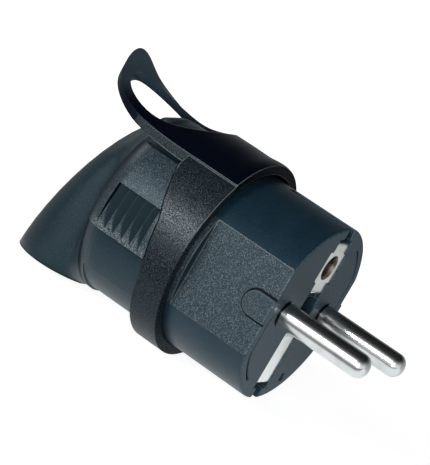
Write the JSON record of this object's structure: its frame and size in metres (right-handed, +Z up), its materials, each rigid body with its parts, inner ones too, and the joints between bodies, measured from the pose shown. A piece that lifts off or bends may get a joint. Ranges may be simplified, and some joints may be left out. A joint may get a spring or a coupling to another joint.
{
  "type": "type f plug",
  "caption": "Angled earthed mains plug: round body with contact pins and side earth strips, domed rear cover bending down to a cable outlet, and a pull strap with a finger loop.",
  "frame": {"origin": "centre of the plug's face, midway between the two contact pins", "axes": "+X the way the pins point, out of the face; +Z up, towards the finger loop and the upper earth strip, with the cable leaving along -Z; +Y to the side, completing a right-handed frame"},
  "size_m": [0.0758, 0.0414, 0.0458],
  "materials": {
    "housing_plastic": "fine-grained matte moulding",
    "strap_rubber": "smooth soft moulding with grained sides",
    "pin_metal": "bright nickel plate",
    "strip_metal": "satin nickel plate",
    "brass": "plain",
    "screw_steel": "zinc plated",
    "inner_plastic": "plain"
  },
  "bodies": {
    "root": {"front_housing": "housing_plastic", "rear_cover": "housing_plastic", "pull_strap": "strap_rubber", "line_pin": "pin_metal", "neutral_pin": "pin_metal", "earth_clip_upper": "strip_metal", "earth_clip_lower": "strip_metal", "earth_pin_sleeve": "brass", "earth_bridge": "brass", "boss_insert": "brass", "earth_clamp_washer": "screw_steel", "earth_terminal_screw": "screw_steel", "line_terminal_screw": "screw_steel", "neutral_terminal_screw": "screw_steel", "centre_screw": "screw_steel", "clamp_screws": "screw_steel", "contact_retainer": "inner_plastic", "cable_clamp": "inner_plastic"}
  },
  "joints": []
}
